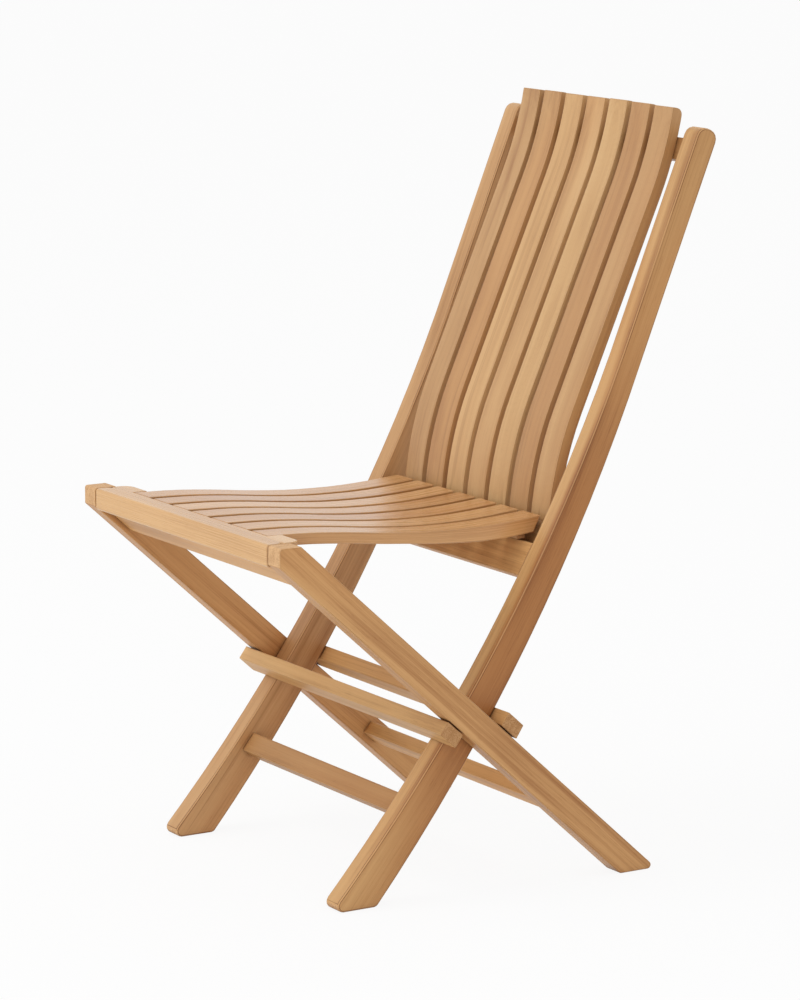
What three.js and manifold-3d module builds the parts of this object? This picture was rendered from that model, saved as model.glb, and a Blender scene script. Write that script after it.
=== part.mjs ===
// Folding chair in teak, with a slatted back and seat and no arms.
//
// Two long stiles run from the front feet up to the top of the back. Two straight legs run outside
// them from the rear feet up to the front of the seat. Stile and leg cross on a pin at each side,
// and the chair folds there. The seat hangs on two hinge pins at the tops of the legs, and its rear
// rests on a rail between the stiles. When the chair folds, the legs close on the stiles while the
// rear of the seat climbs up the front of the back.
//
// Millimetres. Z is up, the chair faces -Y, and its left side as seen from the front is at -X.
// The side plane is (Y, Z): a point in it is a Vector2 with Y in x and Z in y. A lean is an angle
// from the vertical, positive where the upper end lies further to the rear. A place is a point with
// a lean: a board there runs along the lean, and its rear face lies square to it.

import * as THREE from 'three';
import { mergeVertices } from 'three/addons/utils/BufferGeometryUtils.js';
import Module from 'manifold-3d';

const degrees = THREE.MathUtils.degToRad;

// Widths, measured across the chair
const overallWidth = 460;
const legThickness = 26.6;
const stileThickness = 27;
const runningGap = 1.4;

// Heights above the floor
const seatHeight = 433.5;
const crossingHeight = 196.5;
const backTopHeight = 888.8;
const stileTopDrop = 24.8;
const stileTopHeight = backTopHeight - stileTopDrop;

// Stiles: one long bend from the foot to the lower back, straight above it, tapering upwards
const stileFootDepth = 46.5;
const stileTopDepth = 28.5;
const stileFootLean = degrees(41.5);
const stileTopLean = degrees(22);
const stileBendRadius = 2100;
const stileTopRounding = 12;

// Legs: straight, with a level top and an upright nose under the front of the seat
const legDepth = 34.4;
const legLean = degrees(-48.24);
const legNoseHeight = 21.6;
const legNoseRounding = 3;
const legNeckRounding = 2;

// Feet: both corners of each sole are rounded over, the sharp one and the blunt one
const stileToeRounding = 8;
const legTipRounding = 4.5;
const bluntCornerRounding = 8;

// Slats: the same number, width and gap in the seat and in the back
const slatCount = 7;
const slatGap = 9.5;
const outerSlatGap = 18.8;

// Back slats: upright at the foot, bent to the lean of the back, and curled up at the top
const backSlatThickness = 15;
const backSlatSetback = 21.2;
const backSlatFootLean = degrees(4);
const backSlatLean = degrees(23.5);
const backSlatTopLean = degrees(9.5);
const backSlatBendRadius = 400;
const backSlatCurlRadius = 420;
const backSlatTopRounding = 8;

// Seat slats: dished along their length, thicker at the rear, cut off slantwise at the rear end
const seatDip = 17;
const seatStationShares = [0, 0.14, 0.28, 0.41, 0.56, 0.65, 0.73, 0.84, 1];
const seatDipShares = [0, 0.1, 0.36, 0.68, 0.94, 0.99, 1, 0.9, 0.62];
const seatSlatFrontThickness = 13.2;
const seatSlatRearThickness = 18.5;
const seatSwellStartShare = 0.45;
const seatSwellEndShare = 0.85;
const seatRearCutLean = degrees(27);
const seatRearGap = 11;

// Seat front rail, with an ear at each end beside the outer slats
const frontRailDepth = 27;
const frontRailHeight = 25.5;
const frontRailRounding = 3;
const earReach = 18;
const earThickness = 13.5;
const earRounding = 14;

// Seat rear batten, screwed under the rear ends of the seat slats
const battenDepth = 11.5;
const battenOverhang = 4.5;
const battenEndInset = 8;

// Rails between the stiles
const supportRailDrop = 38.5;
const supportRailTopHeight = seatHeight - supportRailDrop;
const supportRailHeight = 41.5;
const supportRailThickness = 16;
const supportRailSetback = 1;
const lowerRailHeight = 40;
const lowerRailThickness = 16;
const lowerRailRise = 31;
const topRailDrop = 45.3;
const topRailCentreHeight = backTopHeight - topRailDrop;
const topRailHeight = 26.5;
const frontStretcherHeightAboveFloor = 116;
const frontStretcherHeight = 25;
const frontStretcherThickness = 18;
const frontStretcherSetback = 12.5;

// Rails across the crossing, in front of the stiles and behind them: the legs close down on them
const crossingRailDepth = 27;
const crossingRailHeight = 17.5;
const crossingRailClearance = 1.9;

// Rails between the legs
const apronClearance = 1.7;
const apronHeight = 34;
const apronThickness = 18;
const apronSetback = 6.5;
const rearStretcherHeightAboveFloor = 89;
const rearStretcherHeight = 24;
const rearStretcherThickness = 17.5;

// Tenons: a rail's tenon is its own section less a shoulder all round
const tenonLength = 15;
const tenonShoulder = 4.5;
const slatTenonLength = 11;
const slatTenonThickness = 7;
const slatTenonShoulder = 4;

// Pins, washers, dowels and screws
const crossingPinDiameter = 10;
const seatPinDiameter = 8;
const pinReach = 20;
const pinCover = 7;
const washerThickness = 0.8;
const washerRim = 6;
const dowelDiameter = 8;
const dowelReachInRail = 14;
const dowelReachInStile = 16;
const screwDiameter = 3.6;
const screwHeadDiameter = 7.4;
const screwHeadHeight = 2.4;
const screwTipLength = 3;
const screwBite = 9;

// Every glued or resting face keeps this gap, and every cut runs past its face by the overrun
const fitGap = 0.3;
const overrun = 2;

// How finely the curves are cut into flats
const stileSteps = 16;
const bendSteps = 7;
const seatSteps = 18;
const cornerSteps = 4;
const roundSides = 16;

const slatFrontColour = 0xd0a476;
const seatSlatColour = 0xdcbd9a;
const frameColour = 0xb8875a;
const railColour = 0xc6996c;
const steelColour = 0x9a9a96;

const wasm = await Module();
wasm.setup();

// Points and places in the side plane

const point = (y, z) => new THREE.Vector2(y, z);
const alongOf = (lean) => point(Math.sin(lean), Math.cos(lean));
const rearOf = (lean) => point(Math.cos(lean), -Math.sin(lean));

// The point so far along a leaning board from a place, and so far to its rear.
function offset(place, along, rear) {
  return place.point.clone()
    .addScaledVector(alongOf(place.lean), along)
    .addScaledVector(rearOf(place.lean), rear);
}

// How far to the rear of a board's line a point lies.
function rearwards(place, target) {
  return target.clone().sub(place.point).dot(rearOf(place.lean));
}

// The value between low and high where a function passes zero.
function root(passes, low, high) {
  const rises = passes(high) > passes(low);
  for (let halving = 0; halving < 50; halving += 1) {
    const middle = (low + high) / 2;
    if ((passes(middle) > 0) === rises) high = middle;
    else low = middle;
  }
  return low;
}

// The place reached by going some way on from another, with the lean changing steadily.
function follow(place, bend, way) {
  if (!bend) return { point: offset(place, way, 0), lean: place.lean };
  const lean = place.lean + bend * way;
  const rise = (Math.sin(lean) - Math.sin(place.lean)) / bend;
  const run = (Math.cos(place.lean) - Math.cos(lean)) / bend;
  return { point: point(place.point.x + run, place.point.y + rise), lean };
}

// An arc of a bent board, as its bend (change of lean for each unit of length) and its length.
function arc(radius, fromLean, toLean) {
  return { bend: Math.sign(toLean - fromLean) / radius, length: radius * Math.abs(toLean - fromLean) };
}

// The height that an arc climbs.
const climb = (radius, fromLean, toLean) => radius * Math.abs(Math.sin(toLean) - Math.sin(fromLean));

// A line of arcs and straights, followed from a start: at(way) is the place so far along it.
function bentLine(start, stretches) {
  const parts = [];
  let place = start;
  let length = 0;
  for (const stretch of stretches) {
    parts.push({ place, from: length, bend: stretch.bend });
    place = follow(place, stretch.bend, stretch.length);
    length += stretch.length;
  }
  const at = (way) => {
    const part = parts.findLast(({ from }) => from <= way) ?? parts[0];
    return follow(part.place, part.bend, way - part.from);
  };
  return { at, length };
}

// The four corners of a board's section: it spans two distances along its place and two to its rear.
function section(bar, inset = 0) {
  const [bottom, top] = [bar.along[0] + inset, bar.along[1] - inset];
  const [front, rear] = [bar.rear[0] + inset, bar.rear[1] - inset];
  return [[bottom, front], [bottom, rear], [top, rear], [top, front]]
    .map(([along, back]) => offset(bar.place, along, back));
}

// An outline with each corner that carries a rounding turned into a short arc.
function rounded(corners) {
  return corners.flatMap((corner, index) => {
    if (!corner.rounding) return [corner];
    const towards = (other) => other.clone().sub(corner).normalize();
    const before = towards(corners.at(index - 1));
    const after = towards(corners[(index + 1) % corners.length]);
    const half = before.angleTo(after) / 2;
    const centre = before.clone().add(after).setLength(corner.rounding / Math.sin(half)).add(corner);
    const reach = corner.rounding / Math.tan(half);
    const start = before.clone().multiplyScalar(reach).add(corner).sub(centre);
    const end = after.clone().multiplyScalar(reach).add(corner).sub(centre);
    const turn = Math.PI - 2 * half;
    return Array.from({ length: cornerSteps + 1 }, (_, step) => {
      const share = step / cornerSteps;
      return start.clone().multiplyScalar(Math.sin((1 - share) * turn) / Math.sin(turn))
        .addScaledVector(end, Math.sin(share * turn) / Math.sin(turn)).add(centre);
    });
  });
}

const withRounding = (corner, rounding) => Object.assign(corner, { rounding });

// Evenly spaced values from one end to the other, both ends included.
function spread(from, to, steps) {
  return Array.from({ length: steps + 1 }, (_, step) => THREE.MathUtils.lerp(from, to, step / steps));
}

// Solids

// A closed geometry as a solid that can be cut and joined.
function solid(geometry) {
  geometry.deleteAttribute('normal');
  geometry.deleteAttribute('uv');
  const merged = mergeVertices(geometry);
  const corners = merged.index.array;
  const triangles = [];
  for (let first = 0; first < corners.length; first += 3) {
    const [a, b, c] = corners.slice(first, first + 3);
    if (a !== b && b !== c && c !== a) triangles.push(a, b, c);
  }
  return new wasm.Manifold(new wasm.Mesh({
    numProp: 3,
    vertProperties: new Float32Array(merged.attributes.position.array),
    triVerts: new Uint32Array(triangles),
  }));
}

// The geometry of a solid, ready for a mesh.
function geometryOf(body) {
  const { vertProperties, triVerts } = body.getMesh();
  const geometry = new THREE.BufferGeometry();
  geometry.setAttribute('position', new THREE.BufferAttribute(vertProperties, 3));
  geometry.setIndex(new THREE.BufferAttribute(triVerts, 1));
  geometry.computeVertexNormals();
  return geometry;
}

const across = new THREE.Vector3(1, 0, 0);
const rearward = new THREE.Vector3(0, 1, 0);
const upward = new THREE.Vector3(0, 0, 1);
const inSpace = (flat, x = 0) => new THREE.Vector3(x, flat.x, flat.y);

// An outline extruded along its third axis, with its own axes turned to the given ones.
function extruded(outline, from, to, axes, origin = new THREE.Vector3()) {
  const geometry = new THREE.ExtrudeGeometry(new THREE.Shape(outline), {
    depth: to - from,
    bevelEnabled: false,
  });
  const turn = new THREE.Matrix4().makeBasis(...axes).setPosition(origin);
  return solid(geometry.translate(0, 0, from).applyMatrix4(turn));
}

// A board whose outline lies in the side plane and whose thickness runs across the chair.
const board = (outline, from, to) => extruded(outline, from, to, [rearward, upward, across]);

// A turned solid: its profile holds radii and distances along the axis.
function turned(profile, origin, axis) {
  const geometry = new THREE.LatheGeometry(profile.map(([radius, way]) => point(radius, way)), roundSides);
  const turn = new THREE.Quaternion().setFromUnitVectors(rearward, axis);
  geometry.applyQuaternion(turn).translate(origin.x, origin.y, origin.z);
  return solid(geometry);
}

// A round rod between two distances along an axis.
function rod(diameter, from, to, origin, axis) {
  const radius = diameter / 2;
  return turned([[0, from], [radius, from], [radius, to], [0, to]], origin, axis);
}

// A countersunk screw, head face at the origin, and the hole that it goes into.
function screw(length, origin, axis) {
  const [head, shank] = [screwHeadDiameter / 2, screwDiameter / 2];
  const profile = [[0, 0], [head, 0], [shank, screwHeadHeight], [shank, length - screwTipLength], [0, length]];
  return turned(profile, origin, axis);
}

function screwHole(length, origin, axis) {
  const [head, shank] = [screwHeadDiameter / 2 + fitGap, screwDiameter / 2 + fitGap];
  const end = length + fitGap;
  const profile = [[0, -overrun], [head, -overrun], [head, 0], [shank, screwHeadHeight], [shank, end], [0, end]];
  return turned(profile, origin, axis);
}

const cut = (body, tools) => tools.reduce((rest, tool) => rest.subtract(tool), body);

// A named piece of the chair.
function piece(name, geometry, color, roughness = 0.6, metalness = 0) {
  const material = new THREE.MeshStandardMaterial({ color, roughness, metalness });
  const mesh = new THREE.Mesh(geometry, material);
  mesh.name = name;
  return mesh;
}

// The same piece at the right side and, mirrored, at the left.
function bothSides(name, geometry, ...look) {
  const right = piece(`${name}_right`, geometry, ...look);
  const left = piece(`${name}_left`, geometry, ...look);
  left.scale.x = -1;
  return [left, right];
}

// Planes across the chair
const legOuter = overallWidth / 2;
const legInner = legOuter - legThickness;
const stileOuter = legInner - runningGap;
const stileInner = stileOuter - stileThickness;
const stileMiddle = (stileInner + stileOuter) / 2;
const slatWidth = (2 * (stileInner - outerSlatGap) - (slatCount - 1) * slatGap) / slatCount;
const slatPitch = slatWidth + slatGap;
const slatPlaces = spread(-slatPitch * (slatCount - 1) / 2, slatPitch * (slatCount - 1) / 2, slatCount - 1);
const slatsHalfWidth = slatPlaces.at(-1) + slatWidth / 2;

// Stiles: the centreline starts on the floor under the middle of the foot
const stileFoot = { point: point(0, 0), lean: stileFootLean };
const stileBend = arc(stileBendRadius, stileFootLean, stileTopLean);
const stileBendClimb = climb(stileBendRadius, stileFootLean, stileTopLean);
const stileStraight = (stileTopHeight - stileBendClimb) / Math.cos(stileTopLean);
const stileLine = bentLine(stileFoot, [stileBend, { bend: 0, length: stileStraight }]);
const [toFront, toRear] = [-1, 1];

function stileDepth(way) {
  const share = THREE.MathUtils.clamp(way / stileBend.length, 0, 1);
  return THREE.MathUtils.lerp(stileFootDepth, stileTopDepth, share);
}

// A place on the front or rear edge of the stile, pushed out from it by a gap.
function stileEdge(side, way, gap = 0) {
  const middle = stileLine.at(way);
  const taper = way < stileBend.length ? (stileTopDepth - stileFootDepth) / stileBend.length : 0;
  const lean = middle.lean + Math.atan(side * taper / 2);
  return { point: offset(middle, 0, side * (stileDepth(way) / 2 + gap)), lean };
}

function stileEdgeAtHeight(side, height) {
  const above = (way) => stileEdge(side, way).point.y - height;
  return stileEdge(side, root(above, -stileFootDepth, stileLine.length));
}

const stileToe = root((way) => stileEdge(toFront, way).point.y, -stileFootDepth, stileFootDepth);
const stileHeel = root((way) => stileEdge(toRear, way).point.y, -stileFootDepth, stileFootDepth);
const stileOutline = rounded([
  withRounding(stileEdge(toFront, stileToe).point, stileToeRounding),
  ...spread(stileToe, stileBend.length, stileSteps).slice(1).map((way) => stileEdge(toFront, way).point),
  withRounding(stileEdge(toFront, stileLine.length).point, stileTopRounding),
  withRounding(stileEdge(toRear, stileLine.length).point, stileTopRounding),
  ...spread(stileBend.length, stileHeel, stileSteps).slice(0, -1).map((way) => stileEdge(toRear, way).point),
  withRounding(stileEdge(toRear, stileHeel).point, bluntCornerRounding),
]);

// The crossing lies on the stile's centreline, and the leg's centreline passes through it
const crossingWay = root((way) => stileLine.at(way).point.y - crossingHeight, 0, stileLine.length);
const crossing = stileLine.at(crossingWay).point;
const legLine = { point: crossing, lean: legLean };

// The place on the leg at a height, so far to the rear of its centreline.
function legAtHeight(height, rear) {
  const level = offset(legLine, 0, rear).y;
  return { point: offset(legLine, (height - level) / Math.cos(legLean), rear), lean: legLean };
}

const legNose = legAtHeight(seatHeight - legNoseHeight, -legDepth / 2).point;
const legOutline = rounded([
  withRounding(legAtHeight(0, -legDepth / 2).point, bluntCornerRounding),
  withRounding(legAtHeight(0, legDepth / 2).point, legTipRounding),
  withRounding(legAtHeight(seatHeight, legDepth / 2).point, legNeckRounding),
  withRounding(point(legNose.x, seatHeight), legNoseRounding),
  withRounding(legNose, legNeckRounding),
]);

// Seat front rail: flush with the nose and the top of the legs, hinged through its middle
const frontRailFront = legNose.x;
const frontRailRear = frontRailFront + frontRailDepth;
const seatPivot = point(frontRailFront + frontRailDepth / 2, seatHeight - frontRailHeight / 2);
const frontRailReach = Math.hypot(frontRailDepth, frontRailHeight) / 2;

// Rails between the stiles, each set in the slope of the stile's front edge
const supportPlace = stileEdgeAtHeight(toFront, supportRailTopHeight);
const supportRail = {
  place: supportPlace,
  along: [-supportRailHeight, 0],
  rear: [supportRailSetback, supportRailSetback + supportRailThickness],
};
const lowerRailFront = supportRail.rear[1] + fitGap;
const lowerRail = {
  place: supportPlace,
  along: [lowerRailRise - lowerRailHeight, lowerRailRise],
  rear: [lowerRailFront, lowerRailFront + lowerRailThickness],
};
const frontStretcher = {
  place: stileEdgeAtHeight(toFront, frontStretcherHeightAboveFloor),
  along: [-frontStretcherHeight / 2, frontStretcherHeight / 2],
  rear: [frontStretcherSetback, frontStretcherSetback + frontStretcherThickness],
};

// Back slats: the line of their front face starts on the top edge of the lower rail
const backSlatFoot = {
  point: offset(supportPlace, lowerRailRise + fitGap, backSlatSetback),
  lean: backSlatFootLean,
};
const backSlatBend = arc(backSlatBendRadius, backSlatFootLean, backSlatLean);
const backSlatCurl = arc(backSlatCurlRadius, backSlatLean, backSlatTopLean);
const backSlatBendClimb = climb(backSlatBendRadius, backSlatFootLean, backSlatLean);
const backSlatCurlClimb = climb(backSlatCurlRadius, backSlatLean, backSlatTopLean);
const backSlatStraightClimb = backTopHeight - backSlatFoot.point.y - backSlatBendClimb - backSlatCurlClimb;
const backSlatStraight = backSlatStraightClimb / Math.cos(backSlatLean);
const backSlatLine = bentLine(backSlatFoot, [
  backSlatBend,
  { bend: 0, length: backSlatStraight },
  backSlatCurl,
]);
const backSlatAtHeight = (height) => root(
  (way) => backSlatLine.at(way).point.y - height, -backSlatThickness, backSlatLine.length);
const backSlatCurlStart = backSlatLine.length - backSlatCurl.length;
const backSlatWays = [
  ...spread(0, backSlatBend.length, bendSteps),
  ...spread(backSlatCurlStart, backSlatLine.length, bendSteps),
];
const backSlatFace = (rear) => backSlatWays.map((way) => offset(backSlatLine.at(way), 0, rear));
const backSlatFootWidth = backSlatThickness / Math.cos(supportPlace.lean - backSlatFootLean);
const backSlatRearFace = backSlatFace(backSlatThickness).reverse();
const backSlatOutline = rounded([
  ...backSlatFace(0),
  withRounding(backSlatRearFace[0], backSlatTopRounding),
  ...backSlatRearFace.slice(1),
  offset(supportPlace, lowerRailRise + fitGap, backSlatSetback + backSlatFootWidth),
]);

// Top rail: behind the back slats and flush with the rear of the stiles
const topRailWay = backSlatAtHeight(topRailCentreHeight);
const topRailPlace = backSlatLine.at(topRailWay);
const topRailRear = rearwards(topRailPlace, stileEdgeAtHeight(toRear, topRailCentreHeight).point);
const topRail = {
  place: topRailPlace,
  along: [-topRailHeight / 2, topRailHeight / 2],
  rear: [backSlatThickness + fitGap, topRailRear],
};

// Rails between the legs: the apron keeps clear of the front rail as the seat turns
const apronPlace = { point: seatPivot, lean: legLean };
const apronFront = -legDepth / 2 + apronSetback - rearwards(legLine, seatPivot);
const apronTop = -frontRailReach - apronClearance;
const apron = {
  place: apronPlace,
  along: [apronTop - apronHeight, apronTop],
  rear: [apronFront, apronFront + apronThickness],
};
const rearStretcher = {
  place: legAtHeight(rearStretcherHeightAboveFloor, 0),
  along: [-rearStretcherHeight / 2, rearStretcherHeight / 2],
  rear: [-rearStretcherThickness / 2, rearStretcherThickness / 2],
};

// A rail with a tenon at each end, and the mortise for its right-hand tenon.
function tenonedRail(bar, halfWidth) {
  const shoulder = halfWidth - fitGap;
  const tip = halfWidth + tenonLength;
  return board(section(bar), -shoulder, shoulder).add(board(section(bar, tenonShoulder), -tip, tip));
}

function mortise(bar, face) {
  return board(section(bar, tenonShoulder - fitGap), face - overrun, face + tenonLength + fitGap);
}

// Crossing rails: each lies along an edge of the stile, close under or over a face of the leg, and
// two of its faces are parallel to the leg
const stileReach = stileFootDepth;
const legFace = legDepth / 2 + crossingRailClearance;

function crossingRail(side) {
  const meets = (way) => rearwards(legLine, stileEdge(side, way, fitGap).point) - side * legFace;
  const corner = root(meets, crossingWay - stileReach, crossingWay + stileReach);
  const near = stileEdge(side, corner, fitGap);
  const far = stileEdge(side, corner + side * crossingRailHeight, fitGap);
  const outwards = alongOf(legLean).multiplyScalar(-side * crossingRailDepth);
  const outline = [near, far].map((place) => place.point)
    .concat([far, near].map((place) => place.point.clone().add(outwards)));
  const middle = stileEdge(side, corner + side * crossingRailHeight / 2, fitGap);
  return { body: board(outline, -legOuter, legOuter), middle };
}

const frontCrossing = crossingRail(toFront);
const rearCrossing = crossingRail(toRear);

// Dowels between the crossing rails and the stiles
const dowelPlaces = [
  { name: 'crossing_dowel_front', side: toFront, rail: frontCrossing },
  { name: 'crossing_dowel_rear', side: toRear, rail: rearCrossing },
];
const dowelOf = ({ side, rail }, room) => rod(
  dowelDiameter + 2 * room, -dowelReachInRail - room, dowelReachInStile + room,
  inSpace(rail.middle.point, stileMiddle), inSpace(rearOf(rail.middle.lean)).multiplyScalar(-side));
const dowelHoles = dowelPlaces.map((place) => dowelOf(place, fitGap));
const mirror = (body) => body.mirror([1, 0, 0]);
frontCrossing.body = cut(frontCrossing.body, [dowelHoles[0], mirror(dowelHoles[0])]);
rearCrossing.body = cut(rearCrossing.body, [dowelHoles[1], mirror(dowelHoles[1])]);

// Hinge pins: blind in the leg, and reaching into the stile or the seat rail
const pinOf = (diameter, place, room) => rod(
  diameter + 2 * room, stileOuter - pinReach - room, legOuter - pinCover + room, inSpace(place), across);
const washerOf = (diameter, place) => {
  const [hole, rim] = [diameter / 2 + fitGap, diameter / 2 + washerRim];
  const [near, far] = [stileOuter + fitGap, stileOuter + fitGap + washerThickness];
  return turned([[hole, near], [rim, near], [rim, far], [hole, far], [hole, near]], inSpace(place), across);
};
const crossingPinHole = pinOf(crossingPinDiameter, crossing, fitGap);
const seatPinHole = pinOf(seatPinDiameter, seatPivot, fitGap);

const stile = cut(board(stileOutline, stileInner, stileOuter), [
  ...[supportRail, lowerRail, topRail, frontStretcher].map((bar) => mortise(bar, stileInner)),
  ...dowelHoles,
  crossingPinHole,
]);
const leg = cut(board(legOutline, legInner, legOuter), [
  ...[apron, rearStretcher].map((bar) => mortise(bar, legInner)),
  crossingPinHole,
  seatPinHole,
]);

// Back slats and what holds them: a tenon in the lower rail and a screw through the top rail
const slatTenonHalfWidth = slatWidth / 2 - slatTenonShoulder;
const lowerRailMiddle = (lowerRail.rear[0] + lowerRail.rear[1]) / 2;
const backTenon = {
  place: supportPlace,
  along: [lowerRailRise - slatTenonLength, lowerRailRise + slatTenonShoulder],
  rear: [lowerRailMiddle - slatTenonThickness / 2, lowerRailMiddle + slatTenonThickness / 2],
};
const tenonAt = (bar, room, x = 0) => board(
  section(bar, -room), x - slatTenonHalfWidth - room, x + slatTenonHalfWidth + room);
const backScrewLength = topRail.rear[1] - topRail.rear[0] + fitGap + screwBite;
const backScrewHead = offset(topRailPlace, 0, topRail.rear[1]);
const backScrewAxis = inSpace(rearOf(topRailPlace.lean)).negate();
const backScrewHole = (x) => screwHole(backScrewLength, inSpace(backScrewHead, x), backScrewAxis);
const backSlat = board(backSlatOutline, -slatWidth / 2, slatWidth / 2)
  .add(tenonAt(backTenon, 0))
  .subtract(backScrewHole(0));

// Seat slats: from the front rail to the gap that the rear of the seat keeps from the back
const seatRearHeight = seatHeight - seatDip * seatDipShares.at(-1);
const seatRun = backSlatLine.at(backSlatAtHeight(seatRearHeight)).point.x - frontRailRear;
const seatDipAt = new THREE.CubicInterpolant(seatStationShares, seatDipShares, 1);
const seatSlatThickness = (share) => THREE.MathUtils.lerp(
  seatSlatFrontThickness, seatSlatRearThickness,
  THREE.MathUtils.smoothstep(share, seatSwellStartShare, seatSwellEndShare));
const seatTop = (y) => seatHeight - seatDip * seatDipAt.evaluate((y - frontRailRear) / seatRun)[0];
const seatUnder = (y) => seatTop(y) - seatSlatThickness((y - frontRailRear) / seatRun);
const seatSlatFront = frontRailRear + fitGap;
const seatSlatRear = frontRailRear + seatRun - seatRearGap;
const seatSlatRearUnder = seatSlatRear - seatSlatRearThickness * Math.tan(seatRearCutLean);
const seatSlatOutline = [
  ...spread(seatSlatRear, seatSlatFront, seatSteps).map((y) => point(y, seatTop(y))),
  ...spread(seatSlatFront, seatSlatRearUnder, seatSteps).map((y) => point(y, seatUnder(y))),
];
const seatTenonMiddle = seatHeight - seatSlatFrontThickness / 2;
const seatTenon = {
  place: { point: point(frontRailRear, seatTenonMiddle), lean: 0 },
  along: [-slatTenonThickness / 2, slatTenonThickness / 2],
  rear: [-slatTenonLength, slatTenonShoulder],
};

// Batten: under the slats and over the front corner of the support rail, which carries it
const supportCorner = offset(supportPlace, 0, supportRailSetback);
const battenFront = supportCorner.x - battenOverhang;
const battenRear = battenFront + battenDepth;
const battenUnder = supportCorner.y + fitGap;
const battenMiddle = (battenFront + battenRear) / 2;
const battenTop = Math.min(seatUnder(battenFront), seatUnder(battenRear)) - fitGap;
const battenOutline = [
  point(battenFront, battenUnder), point(battenRear, battenUnder),
  point(battenRear, battenTop), point(battenFront, battenTop),
];
const seatScrewLength = battenTop - battenUnder + fitGap + screwBite;
const seatScrewHead = point(battenMiddle, battenUnder);
const seatScrewHole = (x) => screwHole(seatScrewLength, inSpace(seatScrewHead, x), upward);
const seatSlat = board(seatSlatOutline, -slatWidth / 2, slatWidth / 2)
  .add(tenonAt(seatTenon, 0))
  .subtract(seatScrewHole(0));
const battenHalfWidth = slatsHalfWidth - battenEndInset;
const batten = cut(board(battenOutline, -battenHalfWidth, battenHalfWidth), slatPlaces.map(seatScrewHole));

// The front rail is a bar with an ear at each end: the ear's outline lies in the plan
const frontRailUnder = seatHeight - frontRailHeight;
const frontRailOutline = rounded([
  withRounding(point(frontRailFront, frontRailUnder), frontRailRounding),
  withRounding(point(frontRailRear, frontRailUnder), frontRailRounding),
  point(frontRailRear, seatHeight),
  withRounding(point(frontRailFront, seatHeight), frontRailRounding),
]);
const earInner = slatsHalfWidth + fitGap;
const earOutline = rounded([
  point(earInner, seatPivot.x), point(stileOuter, seatPivot.x),
  withRounding(point(stileOuter, frontRailRear + earReach), earRounding),
  point(earInner, frontRailRear + earReach),
]);
const ear = extruded(earOutline, seatHeight - earThickness, seatHeight, [across, rearward, upward]);
const seatFrontRail = cut(board(frontRailOutline, -stileOuter, stileOuter).add(ear).add(mirror(ear)), [
  ...slatPlaces.map((x) => tenonAt(seatTenon, fitGap, x)),
  seatPinHole,
  mirror(seatPinHole),
]);

// One copy of a piece for each slat, numbered from the left.
function perSlat(name, body, ...look) {
  const geometry = geometryOf(body);
  return slatPlaces.map((x, index) => {
    const copy = piece(`${name}_${index + 1}`, geometry, ...look);
    copy.position.x = x;
    return copy;
  });
}

const steelLook = [steelColour, 0.35, 1];
const railBetweenStiles = (name, bar, tools = []) => piece(
  name, geometryOf(cut(tenonedRail(bar, stileInner), tools)), railColour);

const backFrame = new THREE.Group().add(
  ...bothSides('stile', geometryOf(stile), frameColour),
  ...perSlat('back_slat', backSlat, slatFrontColour),
  railBetweenStiles('back_top_rail', topRail, slatPlaces.map(backScrewHole)),
  railBetweenStiles('back_lower_rail', lowerRail, slatPlaces.map((x) => tenonAt(backTenon, fitGap, x))),
  railBetweenStiles('seat_support_rail', supportRail),
  railBetweenStiles('front_foot_stretcher', frontStretcher),
  piece('crossing_rail_front', geometryOf(frontCrossing.body), railColour),
  piece('crossing_rail_rear', geometryOf(rearCrossing.body), railColour),
  ...dowelPlaces.flatMap((place) => bothSides(place.name, geometryOf(dowelOf(place, 0)), railColour)),
  ...bothSides('crossing_pin', geometryOf(pinOf(crossingPinDiameter, crossing, 0)), ...steelLook),
  ...bothSides('crossing_washer', geometryOf(washerOf(crossingPinDiameter, crossing)), ...steelLook),
  ...perSlat('back_slat_screw', screw(backScrewLength, inSpace(backScrewHead), backScrewAxis), ...steelLook),
);

const legFrame = new THREE.Group().add(
  ...bothSides('leg', geometryOf(leg), frameColour),
  piece('leg_apron', geometryOf(tenonedRail(apron, legInner)), railColour),
  piece('rear_foot_stretcher', geometryOf(tenonedRail(rearStretcher, legInner)), railColour),
);

const seat = new THREE.Group().add(
  piece('seat_front_rail', geometryOf(seatFrontRail), seatSlatColour),
  ...perSlat('seat_slat', seatSlat, seatSlatColour),
  piece('seat_rear_batten', geometryOf(batten), railColour),
  ...bothSides('seat_hinge_pin', geometryOf(pinOf(seatPinDiameter, seatPivot, 0)), ...steelLook),
  ...bothSides('seat_hinge_washer', geometryOf(washerOf(seatPinDiameter, seatPivot)), ...steelLook),
  ...perSlat('seat_slat_screw', screw(seatScrewLength, inSpace(seatScrewHead), upward), ...steelLook),
);

// The origin lies on the floor, under the middle of the chair
const chair = new THREE.Group().add(backFrame, legFrame, seat);
const extent = new THREE.Box3().setFromObject(chair);
chair.position.y = -(extent.min.y + extent.max.y) / 2;

export default chair;
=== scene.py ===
# %% [markdown]
# # A folding teak chair
#
# The real chair is a set of plain teak boards: two long bent stiles, two straight legs, seven back
# slats, seven seat slats and the rails between them. The frame that is loaded here already holds each
# board at its place, cut sharp. This lesson turns the sharp boards into wood: it eases their edges,
# lays a grain along each board, and lights the chair as in a plain studio.

import math
from itertools import combinations
from types import SimpleNamespace

import bmesh
import bpy
from mathutils import Color, Matrix, Vector


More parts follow.
